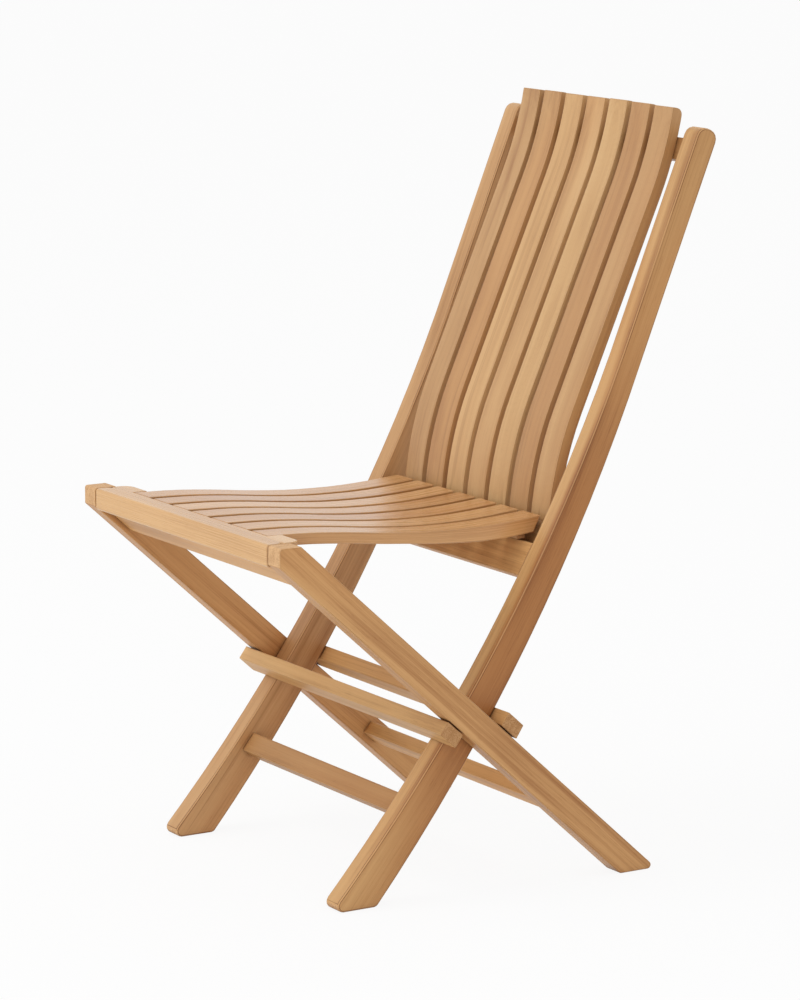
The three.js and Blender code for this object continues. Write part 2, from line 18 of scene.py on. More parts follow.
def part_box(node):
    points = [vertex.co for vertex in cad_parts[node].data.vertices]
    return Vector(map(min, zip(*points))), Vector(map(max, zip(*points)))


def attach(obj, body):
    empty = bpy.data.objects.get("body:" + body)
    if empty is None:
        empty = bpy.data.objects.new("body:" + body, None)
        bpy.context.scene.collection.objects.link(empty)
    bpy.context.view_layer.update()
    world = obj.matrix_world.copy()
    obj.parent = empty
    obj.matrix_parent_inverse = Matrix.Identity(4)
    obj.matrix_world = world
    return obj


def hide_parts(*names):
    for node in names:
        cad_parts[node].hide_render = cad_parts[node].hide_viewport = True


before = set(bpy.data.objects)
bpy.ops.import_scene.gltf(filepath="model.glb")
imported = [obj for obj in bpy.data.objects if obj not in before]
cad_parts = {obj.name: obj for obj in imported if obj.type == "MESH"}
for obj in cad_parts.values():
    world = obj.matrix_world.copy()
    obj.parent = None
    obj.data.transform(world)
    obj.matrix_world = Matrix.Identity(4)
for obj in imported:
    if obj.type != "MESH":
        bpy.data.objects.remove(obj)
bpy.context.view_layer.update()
mm = 0.001

# %% [markdown]
# ## The camera
#
# The camera comes first, so that every later step can be judged in the right view. It looks at the
# chair from its right front side, and down by about ten degrees. It is placed from the pin that the
# chair folds on, because a size changed elsewhere leaves that pin where it is.

# %% Camera
image_height_pixels = 1000
focal_pixels = 3966.9
sensor_height = 36.0
camera_distance = 4677.9 * mm
camera_azimuth = math.radians(57.958)
camera_elevation = math.radians(10.466)
camera_roll = math.radians(0.289)
camera_reach = 100
aim_from_crossing = Vector((0, 31.1 * mm, 227.3 * mm))


def middle_of(node):
    low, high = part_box(node)
    return (low + high) / 2


crossing = middle_of("crossing_pin_right")
aim = Vector((0, crossing.y, crossing.z)) + aim_from_crossing
flat_share = math.cos(camera_elevation)
backwards = Vector((
    math.sin(camera_azimuth) * flat_share,
    -math.cos(camera_azimuth) * flat_share,
    math.sin(camera_elevation),
))
rightwards = Vector((math.cos(camera_azimuth), math.sin(camera_azimuth), 0))
turn = Matrix.Rotation(camera_roll, 3, backwards)
rightwards = turn @ rightwards
upwards = backwards.cross(rightwards)

camera = bpy.data.objects.new("camera", bpy.data.cameras.new("camera"))
camera.data.sensor_fit = "VERTICAL"
camera.data.sensor_height = sensor_height
camera.data.lens = focal_pixels / image_height_pixels * sensor_height
camera.data.clip_end = camera_reach
camera.matrix_world = Matrix.Translation(aim + backwards * camera_distance) @ Matrix(
    (rightwards, upwards, backwards)).transposed().to_4x4()
bpy.context.scene.collection.objects.link(camera)
bpy.context.scene.camera = camera
print("camera at", [round(value, 3) for value in camera.location])

# %% [markdown]
# ## From a sharp solid to a board
#
# A straight board is the smallest block round its solid, which leaves out the hidden holes. A bent
# board is cut from the outline of its flat side. Both ways give clean faces that a bevel can work on,
# which the loose triangles of the solid itself would not.

# %% Reading a solid
weld_distance = 0.01 * mm
flat_angle = math.radians(0.5)


def merged(node):
    """A node's solid with its loose triangles joined."""
    solid = bmesh.new()
    solid.from_mesh(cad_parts[node].data)
    bmesh.ops.remove_doubles(solid, verts=solid.verts, dist=weld_distance)
    return solid


def corners_of(node):
    solid = merged(node)
    corners = [vertex.co.copy() for vertex in solid.verts]
    solid.free()
    return corners


def hull(corners):
    """The smallest block round some corners, with each flat face in one piece."""
    block = bmesh.new()
    for corner in corners:
        block.verts.new(corner)
    made = bmesh.ops.convex_hull(block, input=block.verts)
    inside = {item for key in ("geom_interior", "geom_unused") for item in made[key]}
    spare = [vertex for vertex in block.verts if vertex in inside]
    bmesh.ops.delete(block, geom=spare, context="VERTS")
    bmesh.ops.dissolve_limit(block, angle_limit=flat_angle, verts=block.verts, edges=block.edges)
    bmesh.ops.recalc_face_normals(block, faces=block.faces)
    return block


def side_outline(node):
    """The outer rim of a board's flat side: its corners in the side plane, in order."""
    solid = merged(node)
    side = max(vertex.co.x for vertex in solid.verts)
    flat = {face for face in solid.faces
            if all(abs(vertex.co.x - side) < weld_distance for vertex in face.verts)}
    # A list, because a set would hand out its edges in another order each time the script runs
    rim = [edge for edge in solid.edges if len(flat.intersection(edge.link_faces)) == 1]
    loops = []
    while rim:
        edge = rim.pop()
        first, vertex = edge.verts
        loop = [first]
        while vertex is not first:
            loop.append(vertex)
            edge = next(other for other in vertex.link_edges if other in rim)
            rim.remove(edge)
            vertex = edge.other_vert(vertex)
        loops.append([Vector((corner.co.y, corner.co.z)) for corner in loop])
    solid.free()
    return max(loops, key=lambda loop: max((a - b).length for a, b in combinations(loop, 2)))


def slab(outline, low, high):
    """A board between two planes across the chair, cut to an outline in the side plane."""
    block = bmesh.new()
    near = [block.verts.new((low, y, z)) for y, z in outline]
    far = [block.verts.new((high, y, z)) for y, z in outline]
    block.faces.new(near)
    block.faces.new(reversed(far))
    for index in range(len(outline)):
        block.faces.new((near[index], near[index - 1], far[index - 1], far[index]))
    bmesh.ops.recalc_face_normals(block, faces=block.faces)
    return block


print("stile outline:", len(side_outline("stile_right")), "corners")

# %% [markdown]
# ## The line of the grain
#
# Grain runs along a board. On a bent board it follows the bend well enough, so each board gets a line
# midway between its long edges, and every point of the board knows how far along that line it lies
# and how far off it. A straight board needs only the direction of its longest edge.

# %% Grain lines
station_count = 36
end_share = 0.1


def midline(outline):
    """The line midway between the two long edges of an outline."""
    ends = max(combinations(outline, 2), key=lambda pair: (pair[0] - pair[1]).length)
    start, end = sorted(ends, key=lambda corner: corner.y)
    chord = (end - start).normalized()
    across = Vector((-chord.y, chord.x))
    line = []
    for station in range(station_count + 1):
        share = end_share + (1 - 2 * end_share) * station / station_count
        way = start.lerp(end, share).dot(chord)
        met = []
        for a, b in zip(outline, outline[1:] + outline[:1]):
            before, after = a.dot(chord) - way, b.dot(chord) - way
            if before * after < 0:
                met.append(a.lerp(b, before / (before - after)))
        met.sort(key=across.dot)
        line.append((met[0] + met[-1]) / 2)
    first, last = line[0] - line[1], line[-1] - line[-2]
    reach = (end - start).length * end_share
    return [line[0] + first.normalized() * reach] + line + [line[-1] + last.normalized() * reach]


def place_on(line, point):
    """How far along a line a point lies, how far off it, and the line's direction there."""
    best = None
    way = 0
    for index in range(len(line) - 1):
        start, step = line[index], line[index + 1] - line[index]
        share = (point - start).dot(step) / step.length_squared
        low = -math.inf if index == 0 else 0
        high = math.inf if index == len(line) - 2 else 1
        share = min(max(share, low), high)
        off = point - start - step * share
        if best is None or off.length < best[0]:
            direction = step.normalized()
            side = direction.x * off.y - direction.y * off.x
            best = (off.length, way + share * step.length, side, direction)
        way += step.length
    return best[1:]


def bent_grain(line):
    """A rule that gives a point's place in the wood, and the grain's direction, on a bent board."""
    def rule(point, middle):
        along, depth, direction = place_on(line, Vector((point.y, point.z)))
        return Vector((along, point.x - middle.x, depth)), Vector((0, direction.x, direction.y))
    return rule


def straight_grain(direction, face):
    """The same rule on a straight board: face is the normal of its broad face."""
    def rule(point, middle):
        off = point - middle
        return Vector((off.dot(direction), off.dot(face.cross(direction)), off.dot(face))), direction
    return rule


def longest_edge(block):
    edge = max(block.edges, key=lambda edge: edge.calc_length())
    return (edge.verts[1].co - edge.verts[0].co).normalized()


def broad_face(block):
    return max(block.faces, key=lambda face: face.calc_area()).normal.copy()


print("grain line of a stile:", len(midline(side_outline("stile_right"))), "points")

# %% [markdown]
# ## Countersunk holes
#
# A screw holds each slat from behind or from below, and its head sits in a countersunk hole. The hole
# is cut with a Boolean modifier, after the edges are eased, so that its rim stays sharp. The screw's
# own solid, made a hair bigger about its middle, is the cutter.

# %% Holes for the screws
screw_nodes = {
    rail: [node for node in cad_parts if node.startswith(start)]
    for rail, start in (("back_top_rail", "back_slat_screw"), ("seat_rear_batten", "seat_slat_screw"))
}
hole_growth = 1.08


def new_piece(name, mesh):
    piece = bpy.data.objects.new(name, mesh)
    bpy.context.scene.collection.objects.link(piece)
    return piece


def applied(piece):
    """The piece as its modifiers leave it, with none of them left."""
    graph = bpy.context.evaluated_depsgraph_get()
    mesh = bpy.data.meshes.new_from_object(
        piece.evaluated_get(graph), preserve_all_data_layers=True, depsgraph=graph)
    mesh.name = piece.name
    piece.modifiers.clear()
    piece.data = mesh
    return piece


def sink(piece, screws):
    """Cuts the holes of some screws into a piece."""
    cutter = bmesh.new()
    for screw in screws:
        middle = middle_of(screw)
        hole = hull(corners_of(screw))
        bmesh.ops.scale(hole, vec=(hole_growth,) * 3, space=Matrix.Translation(-middle), verts=hole.verts)
        part = bpy.data.meshes.new("hole")
        hole.to_mesh(part)
        hole.free()
        cutter.from_mesh(part)
        bpy.data.meshes.remove(part)
    mesh = bpy.data.meshes.new("holes")
    cutter.to_mesh(mesh)
    cutter.free()
    holes = new_piece("holes", mesh)
    cut = piece.modifiers.new("holes", "BOOLEAN")
    cut.operation = "DIFFERENCE"
    cut.object = holes
    applied(piece)
    bpy.data.objects.remove(holes)
    print(piece.name, "has", len(screws), "holes")


print("screws:", {rail: len(screws) for rail, screws in screw_nodes.items()})

# %% [markdown]
# ## Easing the edges
#
# Every arris of the real chair was rounded over a little with a router and sandpaper. A Bevel
# modifier does the same. It gives the rounded faces a second material, which is then turned into an
# attribute called edge, so that the wood's material can make them a little lighter, as wear and as a
# painted highlight, and draw dark lines of painted shade along them.

# %% Eased boards
bevel_segments = 3
sharp_angle = math.radians(30)


def store(mesh, name, kind, domain, values):
    """Writes one attribute on a mesh."""
    layer = mesh.attributes.new(name, kind, domain)
    layer.data.foreach_set("vector" if kind == "FLOAT_VECTOR" else "value", values)


def eased(name, block, ease):
    """A piece with rounded arrises, whose rounded faces have a material of their own."""
    mesh = bpy.data.meshes.new(name)
    block.to_mesh(mesh)
    block.free()
    mesh.shade_smooth()
    for stand_in in ("face", "edge"):
        mesh.materials.append(bpy.data.materials.get(stand_in) or bpy.data.materials.new(stand_in))
    piece = new_piece(name, mesh)
    bevel = piece.modifiers.new("eased edges", "BEVEL")
    bevel.width = ease
    bevel.segments = bevel_segments
    bevel.limit_method = "ANGLE"
    bevel.angle_limit = sharp_angle
    bevel.material = 1
    return applied(piece)


print("edges sharper than", round(math.degrees(sharp_angle)), "degrees are eased")

# %% [markdown]
# ## What a board knows
#
# Four attributes tell the material about the wood: each point's place along, across and into the
# board, the board's number, which points lie on an eased arris, and which faces are end faces. A face
# is an end face where the grain runs out of it rather than along it. A bent board is first cut across
# at each station of its line, so that its wood coordinates can follow the bend.

# %% Boards
end_limit = 0.6


def board(name, block, grain, ease, number=None, line=(), screws=()):
    """An eased board that knows its grain, its end faces, its eased edges and its number."""
    for station, after in zip(line[1:-1], line[2:]):
        bmesh.ops.bisect_plane(
            block, geom=block.verts[:] + block.edges[:] + block.faces[:],
            plane_co=(0, *station), plane_no=(0, *(after - station)))
    piece = eased(name, block, ease)
    if screws:
        sink(piece, screws)
    mesh = piece.data

    corners = [vertex.co for vertex in mesh.vertices]
    low = Vector(min(corner[axis] for corner in corners) for axis in range(3))
    high = Vector(max(corner[axis] for corner in corners) for axis in range(3))
    middle = (low + high) / 2
    places = [grain(corner, middle)[0] for corner in corners]
    ways = [place.x for place in places]
    halfway = Vector(((min(ways) + max(ways)) / 2, 0, 0))
    wood = [value for place in places for value in place - halfway]
    store(mesh, "wood", "FLOAT_VECTOR", "POINT", wood)
    if number is not None:
        store(mesh, "board", "FLOAT", "POINT", [number] * len(corners))
    faces = mesh.polygons
    on_face = {corner for face in faces if face.material_index == 0 for corner in face.vertices}
    store(mesh, "edge", "FLOAT", "POINT", [index not in on_face for index in range(len(corners))])
    ends = [abs(face.normal.dot(grain(face.center, middle)[1])) > end_limit for face in faces]
    store(mesh, "end", "FLOAT", "FACE", ends)
    faces.foreach_set("material_index", [0] * len(faces))
    mesh.materials.clear()
    return piece


print("an end face lies within", round(math.degrees(math.acos(end_limit))), "degrees of square to the grain")

# %% [markdown]
# ## Nodes with less typing
#
# The materials and the Geometry Nodes tree are built from the same few kinds of node. A small helper
# adds a node and wires its inputs in one call, so that each recipe below reads like a sum.

# %% Node helpers
full_level = 255
# The Mix node keeps sockets for every kind of value, and these are the places of its colours
mix_first, mix_second, mix_result = 6, 7, 2


class Maker:
    """Adds nodes to a tree: each input is a value or a socket, by name or by number."""

    def __init__(self, tree):
        self.tree = tree

    def add(self, kind, inputs=None, **settings):
        node = self.tree.nodes.new(kind)
        for name, value in settings.items():
            setattr(node, name, value)
        for key, value in (inputs or {}).items():
            if isinstance(value, bpy.types.NodeSocket):
                self.tree.links.new(value, node.inputs[key])
            else:
                node.inputs[key].default_value = value
        return node

    def sum(self, operation, first, second=0.0, third=0.0):
        node = self.add("ShaderNodeMath", {0: first, 1: second, 2: third}, operation=operation)
        return node.outputs[0]

    def vector(self, operation, first, second):
        return self.add("ShaderNodeVectorMath", {0: first, 1: second}, operation=operation).outputs[0]

    def noise(self, vector, detail, roughness=0.5, scale=1.0):
        inputs = {"Vector": vector, "Scale": scale, "Detail": detail, "Roughness": roughness}
        return self.add("ShaderNodeTexNoise", inputs).outputs["Fac"]

    def drawn_out(self, vector, along, across, detail, roughness=0.5):
        """Noise drawn out along the grain, by how fine it is per metre along it and across it."""
        return self.noise(self.vector("MULTIPLY", vector, (along, across, across)), detail, roughness)

    def attribute(self, name, output="Fac"):
        return self.add("ShaderNodeAttribute", attribute_name=name).outputs[output]

    def centred(self, value, share):
        """A value between 0 and 1 as a change, up or down, of half a share at most."""
        return self.sum("MULTIPLY", self.sum("SUBTRACT", value, 0.5), share)

    def between(self, value, low, high, to_low=0.0, to_high=1.0):
        """A value carried from one range to another, and held there."""
        inputs = {"Value": value, "From Min": low, "From Max": high, "To Min": to_low, "To Max": to_high}
        return self.add("ShaderNodeMapRange", inputs, interpolation_type="SMOOTHSTEP").outputs["Result"]

    def mix(self, share, first, second, blend="MIX"):
        node = self.add("ShaderNodeMix", {0: share, mix_first: first, mix_second: second}, data_type="RGBA")
        node.blend_type = blend
        return node.outputs[mix_result]

    def ramp(self, value, stops, interpolation="LINEAR"):
        node = self.add("ShaderNodeValToRGB", {0: value})
        node.color_ramp.interpolation = interpolation
        marks = node.color_ramp.elements
        while len(marks) < len(stops):
            marks.new(1)
        for mark, (place, shade) in zip(marks, stops):
            mark.position = place
            mark.color = shade
        return node.outputs[0]


def clean_nodes(owner):
    """An empty node tree on a material or a world, ready to build in."""
    owner.use_nodes = True
    owner.node_tree.nodes.clear()
    return Maker(owner.node_tree)


def colour(red, green, blue):
    """A colour as it is seen on a screen, 0 to 255, as the linear colour that nodes take."""
    seen = Color((red / full_level, green / full_level, blue / full_level))
    return (*seen.from_srgb_to_scene_linear(), 1)


print("middle grey as nodes take it:", round(colour(128, 128, 128)[0], 3))

# %% [markdown]
# ## Teak
#
# Teak is a warm tan wood with fine straight grain: faint growth rings a few millimetres apart, brown
# streaks, and short open pores. A picture of planks would repeat itself and would have to be laid on
# each board by hand. Here the colour is worked out from the wood's own coordinates instead, so the
# grain runs along every board, and its end faces can differ from its sides. The board's number shifts
# the pattern, because no two boards come from the same place in the tree.

# %% Place in the tree
tree_spread = (3, 1, 1)


def wood_place(make, seed):
    """Wood coordinates moved by the board's number, and the chances that belong to that number."""
    number = make.sum("ADD", make.attribute("board"), seed)
    chance = make.add("ShaderNodeTexWhiteNoise", {"W": number}, noise_dimensions="1D").outputs
    shift = make.vector("MULTIPLY", chance["Color"], tree_spread)
    return make.vector("ADD", make.attribute("wood", "Vector"), shift), chance


print("boards come from", tree_spread[0], "m of trunk")

# %% [markdown]
# ## Growth rings
#
# A board is sawn beside the heart of the tree, so its rings are parts of wide circles. The distance
# from a heart line outside the board, made to wander a little by slow noise, drives a noise of one
# dimension. That gives bands of uneven width, as good and bad years do.

# %% Growth rings
ring_spacing = 5 * mm
ring_wander = 18 * mm
ring_wander_grain = (2.2, 12, 2)
ring_detail = 3.0
ring_roughness = 0.6
taper_share = 0.02
heart_line_spread = 90 * mm
heart_line_distance = 60 * mm
figured_chances = (0.3, 0.8)
figured_shares = (0.35, 1.0)


def growth_rings(make, wood, chance, strength):
    """Uneven bands round a heart line, plainer on some boards than on others."""
    wander = make.centred(make.drawn_out(wood, *ring_wander_grain), ring_wander)
    inner = make.vector("MULTIPLY", make.attribute("wood", "Vector"), (taper_share, 1, 1))
    spot = make.vector("SUBTRACT", chance["Color"], (0.5, 0.5, 0.5))
    heart_line = make.vector("MULTIPLY", spot, (0, heart_line_spread, heart_line_spread))
    aside = make.vector("ADD", make.vector("ADD", inner, heart_line), (0, 0, heart_line_distance))
    distance = make.add("ShaderNodeVectorMath", {0: aside}, operation="LENGTH").outputs["Value"]
    turns = make.sum("DIVIDE", make.sum("ADD", distance, wander), ring_spacing)
    inputs = {"W": turns, "Scale": 1.0, "Detail": ring_detail, "Roughness": ring_roughness}
    band = make.add("ShaderNodeTexNoise", inputs, noise_dimensions="1D").outputs["Fac"]
    figured = make.between(chance["Value"], *figured_chances, *figured_shares)
    return make.sum("MULTIPLY", make.centred(band, strength), figured)


print("growth rings about", round(ring_spacing / mm), "mm apart")

# %% [markdown]
# ## Faces
#
# The rings, soft clouds, streaks, fibres and pores are added up to one level, and a colour ramp turns
# that level into brown, tan or pale wood. Broad reddish patches and a few long dark veins come on top.
# Each pattern is noise drawn out along the grain. Its numbers say how fine it is per metre along the
# grain and across it, how much detail it has, and how rough that detail is.

# %% Face grain
cloud_grain = (3, 16, 2)
cloud_share = 0.6
streak_grain = (1.3, 60, 3, 0.55)
fibre_grain = (10, 700, 3, 0.6)
fibre_share = 0.3
pore_grain = (60, 1300, 1)
pore_range = (0.62, 0.74)
pore_share = 0.09
face_stop_shares = (0.2, 0.5, 0.8)
patch_grain = (2, 9, 1)
patch_range = (0.5, 0.68)
patch_share = 0.8
reddish_tone = (0.95, 0.86, 0.78, 1)
vein_grain = (1.6, 130, 2)
vein_range = (0.62, 0.7)
vein_share = 0.35


def face_grain(make, wood, chance, look):
    """The colour of a board's faces, and its fibre and pores, which the bumps need too."""
    streak = make.drawn_out(wood, *streak_grain)
    cloud = make.drawn_out(wood, *cloud_grain)
    fibre = make.drawn_out(wood, *fibre_grain)
    pore = make.between(make.drawn_out(wood, *pore_grain), *pore_range)
    level = make.sum("ADD", growth_rings(make, wood, chance, look.rings), 0.5)
    for pattern, share in ((streak, look.streaks), (cloud, cloud_share), (fibre, fibre_share)):
        level = make.sum("ADD", level, make.centred(pattern, share))
    level = make.sum("MULTIPLY_ADD", pore, -pore_share, level)
    face = make.ramp(level, list(zip(face_stop_shares, (look.brown, look.tan, look.pale))))
    patch = make.between(make.drawn_out(wood, *patch_grain), *patch_range, 0.0, patch_share)
    face = make.mix(patch, face, reddish_tone, "MULTIPLY")
    vein = make.between(make.drawn_out(wood, *vein_grain), *vein_range, 0.0, vein_share)
    return make.mix(vein, face, look.brown), fibre, pore


print("pores about", round(1 / pore_grain[1] / mm, 1), "mm apart across the grain")

# %% [markdown]
# ## One board and the next
#
# The boards of one chair differ in tone. A table by the board's number tints each one, and a ramp with
# constant steps looks the number up. Where one side of a board lay nearer the heart of the tree, its
# wood is redder. That is its right side here, and it shows most somewhat below the board's middle.

# %% Tints
most_boards = 10
heart_tone = (0.68, 0.5, 0.38, 1)
heart_depth = 13 * mm
heart_below_middle = 100 * mm
heart_reach = (120 * mm, 420 * mm)
heart_far_share = 0.3


def by_board(make, values):
    """The value that stands at the board's number in a table of up to ten."""
    place = make.sum("DIVIDE", make.sum("ADD", make.attribute("board"), 0.5), most_boards)
    stops = [(index / most_boards, value) for index, value in enumerate(values)]
    return make.ramp(place, stops, "CONSTANT")


def heart_side(make, face, shares):
    """Faces made redder towards the right side, as much as the table gives each board."""
    place = make.add("ShaderNodeSeparateXYZ", {0: make.attribute("wood", "Vector")}).outputs
    strength = by_board(make, [(share, share, share, 1) for share in shares])
    heart = make.sum("MULTIPLY", make.between(place["Y"], 0, heart_depth), strength)
    way_off = make.sum("ABSOLUTE", make.sum("ADD", place["X"], heart_below_middle))
    heart = make.sum("MULTIPLY", heart, make.between(way_off, *heart_reach, 1.0, heart_far_share))
    return make.mix(heart, face, heart_tone, "MULTIPLY")


print("tone tables hold up to", most_boards, "boards")

# %% [markdown]
# ## Edges, ends and crevices
#
# Hands wear an arris paler, and the material makes it paler still as a painted highlight. A broken dark
# line of painted shade runs here and there where it meets the flat faces. Where a board is cut across,
# open pores make it rough and speckled. An Ambient Occlusion node finds the joints and the narrow gaps,
# and they are darkened there as painted shade.

# %% Edges and ends
# A dark brown of painted shade, for the crevices and for the dark lines along the arrises
painted_shade_brown = colour(108, 60, 28)
# The arris is made paler, partly as wear and partly as a painted highlight
wear_and_highlight_range = (0.6, 0.95)
wear_and_highlight_share = 0.3
# The broken dark line along each arris is painted shade
line_start = (0.05, 0.3)
line_end = (0.8, 0.5)
line_grain = (11, 30, 2)
line_range = (0.4, 0.58)
faint_line_share = 0.4
speck_grain = (150, 700, 3, 0.7)
speck_range = (0.4, 0.65)
rough_grain = (40, 130, 2)
rough_range = (0.45, 0.6)
crevice_reach = 14 * mm
crevice_range = (0.2, 0.75)
crevice_samples = 8


def wear_and_highlight_edges(make, face, wood, look):
    """Faces with paler arrises, from wear and a painted highlight, and broken dark lines of painted shade
    along them.
    """
    arris = make.attribute("edge")
    face = make.mix(make.between(arris, *wear_and_highlight_range, 0.0, wear_and_highlight_share), face, look.pale)
    line = make.sum("MULTIPLY", make.between(arris, *line_start), make.between(arris, *line_end))
    noise = make.drawn_out(wood, *line_grain)
    broken = make.between(noise, *line_range, faint_line_share * look.lines, look.lines)
    return make.mix(make.sum("MULTIPLY", line, broken), face, painted_shade_brown)


def end_grain(make, wood, look):
    """The colour of the end faces, and their specks, which the bumps need too."""
    speck = make.drawn_out(wood, *speck_grain)
    speckled = make.mix(make.between(speck, *speck_range, 0.0, look.speckle), look.end, look.brown)
    rough = make.between(make.drawn_out(wood, *rough_grain), *rough_range, 0.0, look.speckle / 2)
    return make.mix(rough, speckled, look.brown), speck


def shade_crevices(make, shown, strength):
    """A colour that turns to a brown of painted shade where other faces are near."""
    near = make.add("ShaderNodeAmbientOcclusion", {"Distance": crevice_reach}, samples=crevice_samples)
    return make.mix(make.between(near.outputs["AO"], *crevice_range, strength, 0.0), shown, painted_shade_brown)


print("crevices reach", round(crevice_reach / mm), "mm")

# %% [markdown]
# ## The finished teak
#
# The recipes above meet in one material. Teak takes a satin sheen from oil, a little duller where the
# fibres are coarse and on the end faces. The seat is sanded smoothest, so at a low angle it mirrors
# more of the white surround, which makes it look paler.

# %% Teak
pore_depth_share = 0.5
fibre_height_share = 0.4
speck_height = 2.0
grain_bump = 0.12 * mm
bump_strength = 0.3
fibre_range = (0.3, 0.7)
fibre_roughness = 0.1
end_roughness = 0.2
# Lines and crevices set how dark the painted shade is along the arrises and in the joints and gaps
plain_look = {
    "streaks": 0.6, "rings": 0.4, "lines": 0.5, "speckle": 0.4, "crevices": 0.5,
    "rough": 0.4, "shine": 0.5, "heart_shares": (),
}


def teak(name, **own):
    """A teak with its own pale, tan, brown and end colours, its seed, its tones by board number, and
    what else differs from the plain look."""
    look = SimpleNamespace(**{**plain_look, **own})
    material = bpy.data.materials.new(name)
    make = clean_nodes(material)
    wood, chance = wood_place(make, look.seed)
    face, fibre, pore = face_grain(make, wood, chance, look)
    face = make.mix(1.0, face, by_board(make, look.tones), "MULTIPLY")
    if look.heart_shares:
        face = heart_side(make, face, look.heart_shares)
    face = wear_and_highlight_edges(make, face, wood, look)
    ends, speck = end_grain(make, wood, look)
    is_end = make.attribute("end")
    # Joints and narrow gaps are darkened here as painted shade
    shown = shade_crevices(make, make.mix(is_end, face, ends), look.crevices)

    fibre_height = make.sum("MULTIPLY", fibre, fibre_height_share)
    height = make.sum("MULTIPLY_ADD", pore, -pore_depth_share, fibre_height)
    height = make.sum("MULTIPLY_ADD", make.sum("MULTIPLY", speck, is_end), speck_height, height)
    bump = make.add("ShaderNodeBump", {
        "Strength": bump_strength, "Distance": grain_bump, "Height": height})
    rough = make.between(fibre, *fibre_range, look.rough, look.rough + fibre_roughness)
    shader = make.add("ShaderNodeBsdfPrincipled", {
        "Base Color": shown, "Roughness": make.sum("MULTIPLY_ADD", is_end, end_roughness, rough),
        "Specular IOR Level": look.shine, "Normal": bump.outputs[0]})
    make.add("ShaderNodeOutputMaterial", {"Surface": shader.outputs[0]})
    return material


print("a plain teak:", plain_look)

# %% [markdown]
# ## Four teaks
#
# The back slats, the seat, the stiles and legs, and the rails were picked from different planks. Each
# group has its own colours, and a table of tones for its boards in the order of their numbers.

# %% Four teaks
plain_tone = (1, 1, 1, 1)
slat_teak = teak(
    "teak of the back slats", seed=1, streaks=0.5, crevices=0.45,
    pale=colour(220, 179, 125), tan=colour(203, 158, 105), brown=colour(164, 113, 64),
    end=colour(204, 162, 118),
    tones=[
        plain_tone, (0.86, 0.84, 0.84, 1), (0.88, 0.85, 0.82, 1), (0.98, 0.99, 0.99, 1),
        (0.95, 0.95, 0.95, 1), (0.96, 0.98, 0.98, 1), (0.82, 0.78, 0.75, 1), (0.84, 0.8, 0.77, 1),
    ])
# The seat's strong dark lines along its arrises are painted shade, for the shadow line under its front rail,
# and its strong crevice darkening is painted shade in the gaps between the slats.
seat_teak = teak(
    "teak of the seat", seed=20, streaks=0.4, rings=0.3, lines=0.9, rough=0.23, crevices=0.85,
    pale=colour(218, 175, 124), tan=colour(204, 157, 106), brown=colour(166, 115, 68),
    end=colour(206, 162, 114),
    tones=[(1.12, 1.17, 1.14, 1)] + [(0.98, 0.94, 0.88, 1)] * 7)
frame_teak = teak(
    "teak of the stiles and legs", seed=40, lines=1.0, shine=0.3, heart_shares=[0.1, 1, 0, 0],
    pale=colour(214, 170, 118), tan=colour(196, 148, 97), brown=colour(150, 98, 54),
    end=colour(222, 180, 132),
    tones=[
        (1.0, 1.04, 1.12, 1), (1.06, 1.12, 1.12, 1), (1.1, 1.07, 1.03, 1), (1.05, 1.05, 1.03, 1),
    ])
# The rails' strong crevice darkening is painted shade where they lie close behind the slats.
rail_teak = teak(
    "teak of the rails", seed=60, crevices=0.8, speckle=0.8, shine=0.25,
    pale=colour(219, 178, 124), tan=colour(203, 159, 106), brown=colour(154, 106, 60),
    end=colour(190, 145, 99),
    tones=[
        # The first tone darkens the back top rail as painted shade, for the shade behind the back slats. The
        # seventh and eighth tones, of the leg apron and the rear foot stretcher, lighten them as painted
        # light from the floor below.
        (0.62, 0.52, 0.44, 1), plain_tone, (1.1, 1.05, 1, 1), (0.74, 0.66, 0.6, 1), (1.07, 1.1, 1.12, 1),
        (1.08, 1.06, 1.02, 1), (1.17, 1.11, 1, 1), (1.24, 1.24, 1.18, 1), plain_tone,
    ])
print("teak materials:", sorted(material.name for material in bpy.data.materials))

# %% [markdown]
# ## Placing a finished board
#
# The Weighted Normal modifier keeps the broad faces flat in the light, while the narrow rounded edges
# shade smoothly from one to the next. Then the piece is hung on the body that it moves with.

# %% Finish
def finish(piece, material, body, nodes):
    """Dresses a piece, hangs it on its body and hides the nodes it stands for."""
    if material:
        piece.data.materials.clear()
        piece.data.materials.append(material)
    normals = piece.modifiers.new("flat faces stay flat", "WEIGHTED_NORMAL")
    normals.keep_sharp = True
    applied(piece)
    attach(piece, body)
    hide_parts(*nodes)
    print(piece.name, "-", len(piece.data.polygons), "faces")


def bent_board(name, node, ease, number=None, across=None):
    """A board cut to the outline of a node's side, with the line that its grain follows."""
    low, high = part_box(node)
    span = across or (low.x, high.x)
    outline = side_outline(node)
    line = midline(outline)
    return board(name, slab(outline, *span), bent_grain(line), ease, number, line)


# %% [markdown]
# ## Stiles
#
# A stile runs from the front foot up to the top of the back in one long bend. It is sawn from a plank,
# tapers upwards, and its edges are rounded over more than those of the slats, because hands and backs
# meet them.

# %% Stiles
stile_ease = 4.5 * mm
sides = ("left", "right")

for number, side in enumerate(sides):
    stile = bent_board(f"stile_{side}_wood", f"stile_{side}", stile_ease, number)
    finish(stile, frame_teak, "back_frame", [f"stile_{side}"])

# %% [markdown]
# ## Straight boards
#
# Legs, rails and stretchers are straight. A rail's solid has a tenon at each end that is hidden in
# its neighbour, so only the part between the shoulders is kept.

# %% Straight boards
leg_ease = 2.5 * mm
rail_ease = 1.6 * mm
crossing_ease = 1.2 * mm
slat_ease = 1.2 * mm


